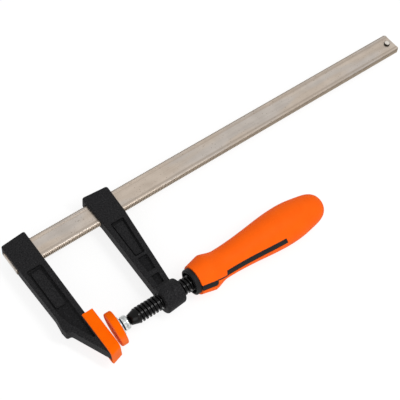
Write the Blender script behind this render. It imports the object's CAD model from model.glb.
import math

import bpy
import numpy as np
from mathutils import Matrix, Vector


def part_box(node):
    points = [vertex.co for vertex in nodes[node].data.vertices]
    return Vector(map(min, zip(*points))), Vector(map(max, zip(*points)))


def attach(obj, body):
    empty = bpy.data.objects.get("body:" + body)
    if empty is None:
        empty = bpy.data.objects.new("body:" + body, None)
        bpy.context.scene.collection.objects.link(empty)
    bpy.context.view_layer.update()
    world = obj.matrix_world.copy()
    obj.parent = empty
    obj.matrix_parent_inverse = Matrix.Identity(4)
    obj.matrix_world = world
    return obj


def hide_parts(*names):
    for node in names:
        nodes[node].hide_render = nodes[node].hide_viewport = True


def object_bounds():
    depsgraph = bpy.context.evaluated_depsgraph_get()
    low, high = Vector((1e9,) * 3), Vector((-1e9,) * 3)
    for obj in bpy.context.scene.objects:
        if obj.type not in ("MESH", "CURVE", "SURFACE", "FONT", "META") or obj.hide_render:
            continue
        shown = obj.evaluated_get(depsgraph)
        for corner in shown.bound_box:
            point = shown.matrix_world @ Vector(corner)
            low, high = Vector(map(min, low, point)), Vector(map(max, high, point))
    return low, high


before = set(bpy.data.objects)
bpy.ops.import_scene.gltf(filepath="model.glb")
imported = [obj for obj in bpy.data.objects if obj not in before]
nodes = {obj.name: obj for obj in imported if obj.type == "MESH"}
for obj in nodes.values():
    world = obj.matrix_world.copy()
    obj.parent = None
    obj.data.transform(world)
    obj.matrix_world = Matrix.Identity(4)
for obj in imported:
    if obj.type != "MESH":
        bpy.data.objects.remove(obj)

cad_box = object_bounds()


# The toothed bar
# A rolled flat of steel, 20 by 5 mm, with bevelled edges, a shallow channel in each face and teeth
# pressed across both edges. It is nickel plated, so it is warm and satin, and the teeth hold brown
# oil and dirt. Its end is pressed through the fixed jaw's head.

class Amount:
    """A value on a node's socket: sums, products and powers of it add Math nodes."""

    def __init__(self, finish, socket):
        self.finish = finish
        self.socket = socket

    def __add__(self, other):
        return self.finish.maths("ADD", self, other)

    __radd__ = __add__

    def __sub__(self, other):
        return self.finish.maths("SUBTRACT", self, other)

    def __rsub__(self, other):
        return self.finish.maths("SUBTRACT", other, self)

    def __mul__(self, other):
        return self.finish.maths("MULTIPLY", self, other)

    __rmul__ = __mul__

    def __pow__(self, other):
        return self.finish.maths("POWER", self, other)

    def __abs__(self):
        return self.finish.maths("ABSOLUTE", self)


class Finish:
    """A material: its shader, and the nodes that vary it over the surface."""

    def __init__(self, name, **constants):
        self.material = bpy.data.materials.new(name)
        self.material.use_nodes = True
        self.tree = self.material.node_tree
        self.shader = self.tree.nodes["Principled BSDF"]
        for socket, value in constants.items():
            self.shader.inputs[socket.replace("_", " ")].default_value = value

    def feed(self, socket, value):
        """Give a socket a value, or a link from another node."""
        if isinstance(value, Amount):
            self.tree.links.new(value.socket, socket)
        else:
            socket.default_value = value

    def add(self, kind, settings, sockets, output=0):
        """Add one node: its settings first, then values or links for its sockets."""
        node = self.tree.nodes.new("ShaderNode" + kind)
        for name, value in settings.items():
            setattr(node, name, value)
        for name, value in sockets.items():
            self.feed(node.inputs[name], value)
        return Amount(self, node.outputs[output])

    def maths(self, operation, *values):
        """Add one Math node on one or two values."""
        return self.add("Math", {"operation": operation}, dict(enumerate(values)))

    def place(self):
        """Object coordinates, in metres."""
        return self.add("TexCoord", {}, {}, "Object")

    def along(self, axis):
        """One of the object coordinates as a value."""
        return self.add("SeparateXYZ", {}, {"Vector": self.place()}, axis)

    def noise(self, size, detail=2.0, stretch=(1.0, 1.0, 1.0)):
        """Noise whose grains are about size metres across, drawn out along an axis by stretch."""
        scale = [1.0 / (size * s) for s in stretch]
        spot = self.add("Mapping", {}, {"Vector": self.place(), "Scale": scale})
        return self.add("TexNoise", {}, {"Vector": spot, "Scale": 1.0, "Detail": detail})

    def ramp(self, value, low, high):
        """0 where value is under low, 1 where it is over high, smooth between."""
        sockets = {"Value": value, "From Min": low, "From Max": high}
        return self.add("MapRange", {"interpolation_type": "SMOOTHSTEP"}, sockets)

    def blend(self, mask, dark, light):
        """The colour dark where mask is 0 and light where it is 1."""
        return self.add("Mix", {"data_type": "RGBA"}, {0: mask, 6: dark, 7: light}, 2)

    def relief(self, height, depth, strength=1.0):
        """Bump from a height of 0 to 1, depth metres deep."""
        sockets = {"Height": height, "Distance": depth, "Strength": strength}
        self.feed(self.shader.inputs["Normal"], self.add("Bump", {}, sockets))

    def vary(self, socket, value):
        """Let a socket of the shader vary over the surface."""
        self.feed(self.shader.inputs[socket], value)

    def on(self, *pieces):
        """Put this finish on pieces."""
        for piece in pieces:
            if piece.material_slots:
                piece.material_slots[0].material = self.material
            else:
                piece.data.materials.append(self.material)


bar_middle_y = 0.090
bar_half_width = 0.010
channel_edge_from_middle = 0.0066
channel_edge_width = 0.0016
side_face_ends_at_z = 0.0018
bevel_starts_at_z = 0.0020
teeth_start_from_middle = 0.0084
teeth_full_from_middle = 0.0092
tooth_pitch = 0.0015
first_crest_x = -0.0044
mark_slant = 1.6
turns_per_metre = 2 * math.pi / tooth_pitch

nickel = Finish("bar_nickel", Metallic=1.0)
bands = nickel.noise(0.0035, 3.0, (60.0, 1.0, 1.0))
fine_lines = nickel.noise(0.0005, 2.0, (80.0, 1.0, 1.0))
clouds = nickel.noise(0.012, 2.0)
tints = nickel.noise(0.030, 1.0, (2.0, 0.4, 1.0))
from_middle = abs(nickel.along("Y") - bar_middle_y)
channel_edge = nickel.ramp(abs(from_middle - channel_edge_from_middle), 0.0, channel_edge_width)
specks = nickel.ramp(nickel.noise(0.0010, 0.0), 0.76, 0.80)
tone = nickel.ramp(bands * 0.45 + fine_lines * 0.2 + clouds * 0.35, 0.33, 0.67)
warm = nickel.blend(tone, (0.445, 0.375, 0.310, 1.0), (0.560, 0.480, 0.405, 1.0))
cool = nickel.blend(tone, (0.430, 0.385, 0.345, 1.0), (0.520, 0.470, 0.425, 1.0))
plate = nickel.blend(nickel.ramp(tints, 0.42, 0.62), warm, cool)
edge_line = nickel.blend(channel_edge * 0.7 + 0.3, (0.36, 0.30, 0.245, 1.0), plate)
speckled = nickel.blend(specks * 0.7, edge_line, (0.16, 0.12, 0.09, 1.0))

# The teeth: light crests on the brown side face, and light slanted marks on the bevel.
dirt = nickel.noise(0.0012, 2.0)
from_crest = nickel.along("X") - first_crest_x
crest = 0.5 + 0.5 * nickel.maths("COSINE", from_crest * turns_per_metre)
crest_and_dirt = crest * 0.8 + dirt * 0.3
side_face = nickel.blend(crest_and_dirt, (0.060, 0.036, 0.020, 1.0), (0.460, 0.380, 0.290, 1.0))
slanted = from_crest + mark_slant * (from_middle - bar_half_width)
mark = nickel.ramp(0.5 + 0.5 * nickel.maths("COSINE", slanted * turns_per_metre), 0.30, 0.80)
bevel_face = nickel.blend(mark, (0.085, 0.060, 0.042, 1.0), (0.480, 0.410, 0.340, 1.0))
on_bevel = nickel.ramp(abs(nickel.along("Z")), side_face_ends_at_z, bevel_starts_at_z)
toothed = nickel.blend(on_bevel, side_face, bevel_face)
tooth_zone = nickel.ramp(from_middle, teeth_start_from_middle, teeth_full_from_middle)
nickel.vary("Base Color", nickel.blend(tooth_zone, speckled, toothed))
nickel.vary("Roughness", 0.30 + 0.10 * clouds + 0.12 * tooth_zone)
nickel.relief(fine_lines * 0.5 + bands * 0.5, 0.00002)
nickel.on(nodes["bar"])


# The stop stud
# A pin of bright steel through the bar near its free end, peened over on both faces. It keeps the
# arm on the bar.

stud_low, stud_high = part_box("bar_stop_stud")
stud_middle = (stud_low + stud_high) / 2
head_round_starts = 0.0021
head_round_ends = 0.0024
stud_steel = Finish("stud_steel", Metallic=1.0)
hammered = stud_steel.noise(0.0011, 2.0)
across = stud_steel.along("X") - stud_middle.x
beside = stud_steel.along("Y") - stud_middle.y
from_pin_middle = (across * across + beside * beside) ** 0.5
rim = stud_steel.ramp(from_pin_middle, head_round_starts, head_round_ends)
peened = stud_steel.blend(hammered, (0.46, 0.41, 0.35, 1.0), (0.90, 0.86, 0.80, 1.0))
stud_steel.vary("Base Color", stud_steel.blend(rim, peened, (0.030, 0.026, 0.022, 1.0)))
stud_steel.vary("Roughness", 0.22 + 0.2 * hammered)
stud_steel.relief(hammered, 0.00008)
stud_steel.on(nodes["bar_stop_stud"])


# The fixed jaw and the sliding arm
# Both are iron castings under a fine-grained black powder coat. The jaw is pressed on the bar's
# end. The arm hangs on the bar by the slot in its head and carries the spindle in its boss.

panel_floor_z = 0.0027
shank_face_z = 0.0036
powder = Finish("casting_powder_coat", Specular_IOR_Level=0.10)
grains = powder.noise(0.0011, 3.0)
swell = powder.noise(0.005, 2.0)
sparkle = powder.ramp(powder.noise(0.0009, 0.0), 0.68, 0.80)
facing = powder.add("TexCoord", {}, {}, "Normal")
facing_up = powder.ramp(abs(powder.add("SeparateXYZ", {}, {"Vector": facing}, "Z")), 0.4, 0.9)
sunk = 1.0 - powder.ramp(abs(powder.along("Z")), panel_floor_z, shank_face_z)
grit = powder.ramp(grains, 0.3, 0.7)
coat = powder.blend(grit, (0.0040, 0.0040, 0.0046, 1.0), (0.019, 0.0185, 0.0195, 1.0))
dull = powder.blend(facing_up * sunk * 0.5, coat, (0.004, 0.004, 0.0045, 1.0))
powder.vary("Base Color", powder.blend(sparkle * 0.3, dull, (0.075, 0.075, 0.078, 1.0)))
powder.vary("Roughness", 0.52 + 0.2 * grains)
powder.relief(grains * 0.7 + swell * 0.3, 0.0003, 0.8)
powder.on(nodes["fixed_jaw"], nodes["sliding_arm"])


# The jaw's cap and the pad's cap
# Two caps of soft orange plastic keep the work unmarked. One is a tray pressed over the jaw's toe,
# the other a disc snapped round the swivel plate. They are moulded, smooth and slightly satin.

cap_plastic = Finish("cap_orange_plastic", Specular_IOR_Level=0.02)
mottle = cap_plastic.noise(0.006, 3.0)
skin = cap_plastic.noise(0.0004, 2.0)
flat = cap_plastic.blend(mottle, (0.93, 0.118, 0.0003, 1.0), (1.0, 0.145, 0.0006, 1.0))
bloomed = cap_plastic.blend(mottle, (0.80, 0.135, 0.028, 1.0), (0.90, 0.185, 0.048, 1.0))
cap_facing = cap_plastic.add("TexCoord", {}, {}, "Normal")
cap_up = abs(cap_plastic.add("SeparateXYZ", {}, {"Vector": cap_facing}, "Z"))
cap_plastic.vary("Base Color", cap_plastic.blend(cap_plastic.ramp(cap_up, 0.15, 0.75), bloomed, flat))
cap_plastic.vary("Roughness", 0.60 + 0.14 * skin)
cap_plastic.relief(skin, 0.00001)
cap_plastic.on(nodes["fixed_jaw_cap"], nodes["pad_cap"])


# The swivel plate and its snap ring
# A turned steel disc with a socket for the spindle's ball, bright zinc plated. A split wire ring in
# the socket holds the ball.

ball_x = 0.01275
ball_middle = (ball_x, 0.0, 0.0)
droop = math.radians(8.0)
aside = math.radians(-3.7)
pad_way = (math.cos(droop) * math.cos(aside), math.cos(droop) * math.sin(aside), math.sin(droop))
groove_floor_radius = 0.0050
groove_wall_radius = 0.0056
zinc = Finish("swivel_zinc", Metallic=1.0)
from_ball = zinc.add("VectorMath", {"operation": "SUBTRACT"}, {0: zinc.place(), 1: ball_middle})
behind = zinc.add("VectorMath", {"operation": "DOT_PRODUCT"}, {0: from_ball, 1: pad_way}, "Value")
distance = zinc.add("VectorMath", {"operation": "LENGTH"}, {0: from_ball}, "Value")
from_axis = (distance * distance - behind * behind) ** 0.5
turning = zinc.noise(0.0004, 2.0, (1.0, 6.0, 6.0))
bloom = zinc.noise(0.0016, 2.0)
stain = zinc.ramp(zinc.noise(0.0030, 1.0), 0.54, 0.64)
plated = zinc.blend(zinc.ramp(bloom, 0.3, 0.7), (0.46, 0.48, 0.48, 1.0), (0.82, 0.84, 0.83, 1.0))
dulled = zinc.blend(stain * 0.5, plated, (0.20, 0.21, 0.21, 1.0))
groove_floor = 1.0 - zinc.ramp(from_axis, groove_floor_radius, groove_wall_radius)
zinc.vary("Base Color", zinc.blend(groove_floor, dulled, (0.012, 0.014, 0.024, 1.0)))
zinc.vary("Roughness", 0.16 + 0.16 * bloom)
zinc.relief(turning, 0.00003)
zinc.on(nodes["swivel_plate"], nodes["swivel_snap_ring"])


# The spindle
# A steel screw with a trapezoid thread, a nose cone, a neck and a ball end, blackened and oiled.
# It is one turned and rolled piece, and its tail is moulded into the handle.

lean = math.radians(1.0)
ball_radius = 0.0039
neck_radius = 0.0028
nose_start_x = ball_x + 0.0058
nose_start_radius = 0.0042
thread_start_x = nose_start_x + 0.0055
thread_start_radius = 0.0059
thread_radius = 0.0065
thread_depth = 0.0017
thread_pitch = 0.003
rings_per_pitch = 26
crest_share = 0.24
flank_share = 0.56
thread_end_x = 0.0779
tail_end_x = 0.1599
tail_radius = 0.0047


def spindle_rings(turn_steps):
    """Rings of points along the screw.

    Each ring holds x and the angle round the axis. The radius is the blank's radius less the depth
    of the groove, and the groove's phase is x over the pitch less the angle over a full turn, so it
    winds as a helix. The groove's floor and crest are flats joined by a clipped cosine.
    """
    ball = np.linspace(math.pi * 0.98, math.asin(neck_radius / ball_radius), 26)
    ball_along = ball_x + ball_radius * np.cos(ball)
    ball_round = ball_radius * np.sin(ball)
    smooth = np.array([
        [nose_start_x - 0.0009, neck_radius],
        [nose_start_x - 0.0005, neck_radius + 0.00015],
        [nose_start_x, nose_start_radius],
        [thread_start_x - 0.0004, thread_start_radius - 0.00015],
    ])
    thread_along = np.arange(thread_start_x, thread_end_x, thread_pitch / rings_per_pitch)
    rise = np.clip((thread_along - thread_start_x) / 0.0008, 0.0, 1.0)
    thread_round = thread_start_radius + (thread_radius - thread_start_radius) * rise
    tail = np.array([[thread_end_x + 0.0002, tail_radius], [tail_end_x, tail_radius]])
    along = np.concatenate([ball_along, smooth[:, 0], thread_along, tail[:, 0]])
    blank = np.concatenate([ball_round, smooth[:, 1], thread_round, tail[:, 1]])
    cut = np.zeros_like(along)
    threaded = slice(len(ball) + len(smooth), len(along) - len(tail))
    run_in = (thread_along - thread_start_x) / (0.5 * thread_pitch)
    run_out = (thread_end_x - thread_pitch - thread_along) / (0.3 * thread_pitch)
    cut[threaded] = np.clip(np.minimum(run_in, run_out), 0.0, 1.0)
    angle = np.linspace(0.0, 2 * math.pi, turn_steps, endpoint=False)
    phase = along[:, None] / thread_pitch - angle[None, :] / (2 * math.pi)
    wave = 0.5 - 0.5 * np.cos(2 * math.pi * phase)
    groove = np.clip((wave - crest_share) / flank_share, 0.0, 1.0)
    groove = groove * groove * (3.0 - 2.0 * groove)
    radius = blank[:, None] - thread_depth * cut[:, None] * groove
    x = np.broadcast_to(along[:, None], radius.shape)
    return np.stack([x, radius * np.cos(angle), radius * np.sin(angle)], axis=-1)


def closed_skin(name, rings):
    """Mesh of rings of points: quads between rings, and a fan to the middle of each end ring."""
    count, steps = rings.shape[:2]
    first = rings[0].mean(axis=0)
    last = rings[-1].mean(axis=0)
    points = np.concatenate([rings.reshape(-1, 3), [first, last]])
    step = np.arange(steps)
    after = (step + 1) % steps
    row = np.arange(count - 1)[:, None] * steps
    quads = np.stack([row + step, row + steps + step, row + steps + after, row + after], axis=-1)
    start_fan = np.stack([np.full(steps, count * steps), step, after], axis=-1)
    top = (count - 1) * steps
    end_fan = np.stack([np.full(steps, count * steps + 1), top + after, top + step], axis=-1)
    faces = quads.reshape(-1, 4).tolist() + start_fan.tolist() + end_fan.tolist()
    mesh = bpy.data.meshes.new(name)
    mesh.from_pydata(points.tolist(), [], faces)
    mesh.shade_smooth()
    return mesh


def lean_about_ball(mesh):
    """Turn a mesh with the loose arm's lean, about the middle of the spindle's ball."""
    middle = Vector((ball_x, 0.0, 0.0))
    turn = Matrix.Rotation(-lean, 4, "Z")
    mesh.transform(Matrix.Translation(middle) @ turn @ Matrix.Translation(-middle))


screw_mesh = closed_skin("spindle_screw", spindle_rings(96))
lean_about_ball(screw_mesh)
screw = bpy.data.objects.new("spindle_screw", screw_mesh)
bpy.context.scene.collection.objects.link(screw)
oiled = Finish("spindle_black_oil", Specular_IOR_Level=0.15)
drawn = oiled.noise(0.0006, 2.0, (1.0, 5.0, 5.0))
patches = oiled.noise(0.004, 2.0)
oil_black = oiled.blend(patches, (0.0010, 0.0009, 0.0010, 1.0), (0.003, 0.0028, 0.003, 1.0))
oiled.vary("Base Color", oil_black)
oiled.vary("Roughness", 0.14 + 0.12 * patches)
oiled.relief(drawn, 0.00004)
oiled.on(screw)
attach(screw, "screw")
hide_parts("spindle")


# The handle
# A hard black core is moulded on the spindle's tail, with a collar at the front and two raised
# strips. A soft orange shell is moulded over it and leaves the collar and the strips bare.

core_plastic = Finish("handle_black_core", Specular_IOR_Level=0.12)
core_grain = core_plastic.noise(0.0006, 3.0)
wear = core_plastic.noise(0.005, 2.0)
core_black = core_plastic.blend(wear, (0.006, 0.006, 0.0065, 1.0), (0.016, 0.0155, 0.016, 1.0))
core_plastic.vary("Base Color", core_black)
core_plastic.vary("Roughness", 0.40 + 0.25 * core_grain)
core_plastic.relief(core_grain, 0.00012)
core_plastic.on(nodes["handle_core"])

grip_rubber = Finish("handle_orange_grip", Specular_IOR_Level=0.08)
grip_mottle = grip_rubber.noise(0.009, 3.0)
grip_skin = grip_rubber.noise(0.0005, 2.0)
grip_orange = grip_rubber.blend(grip_mottle, (0.94, 0.108, 0.001, 1.0), (1.0, 0.136, 0.003, 1.0))
grip_rubber.vary("Base Color", grip_orange)
grip_rubber.vary("Roughness", 0.50 + 0.16 * grip_skin)
grip_rubber.relief(grip_skin, 0.00004)
grip_rubber.on(nodes["handle_grip"])


# The room
# A pale floor at the clamp's lowest point, a white surround and soft lamps. Camera, glossy and
# transmitted rays see the surround white.

floor_height = cad_box[0][2]
floor_reach = 6.0
floor_corners = [
    (-floor_reach, -floor_reach, floor_height),
    (floor_reach, -floor_reach, floor_height),
    (floor_reach, floor_reach, floor_height),
    (-floor_reach, floor_reach, floor_height),
]
floor_mesh = bpy.data.meshes.new("studio_floor")
floor_mesh.from_pydata(floor_corners, [], [(0, 1, 2, 3)])
floor = bpy.data.objects.new("studio_floor", floor_mesh)
bpy.context.scene.collection.objects.link(floor)
paper = Finish("studio_paper", Roughness=0.9, Specular_IOR_Level=0.1)
paper.shader.inputs["Base Color"].default_value = (0.22, 0.22, 0.22, 1.0)
paper.shader.inputs["Emission Strength"].default_value = 1.0
straight = paper.add("LightPath", {}, {}, "Is Camera Ray")
glossy = paper.add("LightPath", {}, {}, "Is Glossy Ray")
through = paper.add("LightPath", {}, {}, "Is Transmission Ray")
glow = paper.blend(straight + glossy + through, (0.55, 0.55, 0.55, 1.0), (0.82, 0.82, 0.82, 1.0))
paper.vary("Emission Color", glow)
paper.on(floor)

light_strength = 0.60
seen_strength = 1.0
world = bpy.data.worlds.new("studio_surround")
world.use_nodes = True
bpy.context.scene.world = world
surround = world.node_tree.nodes["Background"]
ray = world.node_tree.nodes.new("ShaderNodeLightPath")
seen = world.node_tree.nodes.new("ShaderNodeMath")
seen.operation = "MAXIMUM"
seen_through = world.node_tree.nodes.new("ShaderNodeMath")
seen_through.operation = "MAXIMUM"
strength = world.node_tree.nodes.new("ShaderNodeMapRange")
strength.inputs["To Min"].default_value = light_strength
strength.inputs["To Max"].default_value = seen_strength
links = world.node_tree.links
links.new(ray.outputs["Is Camera Ray"], seen.inputs[0])
links.new(ray.outputs["Is Glossy Ray"], seen.inputs[1])
links.new(seen.outputs[0], seen_through.inputs[0])
links.new(ray.outputs["Is Transmission Ray"], seen_through.inputs[1])
links.new(seen_through.outputs[0], strength.inputs["Value"])
links.new(strength.outputs[0], surround.inputs["Strength"])
surround.inputs["Color"].default_value = (1.0, 1.0, 1.0, 1.0)

target = Vector((0.15, 0.045, 0.0))


def lamp(name, place, width, length, watts):
    """An oblong soft lamp that faces the clamp."""
    light = bpy.data.lights.new(name, "AREA")
    light.shape = "RECTANGLE"
    light.size = width
    light.size_y = length
    light.energy = watts
    stand = bpy.data.objects.new(name, light)
    stand.location = place
    stand.rotation_euler = (target - Vector(place)).to_track_quat("-Z", "Y").to_euler()
    bpy.context.scene.collection.objects.link(stand)


lamp("key_lamp", (0.28, -0.30, 0.82), 0.08, 0.50, 3.0)
lamp("side_lamp", (-0.55, -0.60, 0.35), 0.60, 0.60, 2.5)


# The camera
# It looks down on the clamp from the jaws' side, as in the photograph.

view = bpy.data.cameras.new("photo_view")
view.sensor_width = 36.0
view.lens = 87.17
view.clip_start = 0.01
camera = bpy.data.objects.new("photo_view", view)
camera.location = (-0.179794, -0.240615, 0.655704)
camera.rotation_euler = [math.radians(a) for a in (32.565967, -5.452614, -37.691993)]
bpy.context.scene.collection.objects.link(camera)
bpy.context.scene.camera = camera

bpy.context.scene.view_settings.view_transform = "Standard"
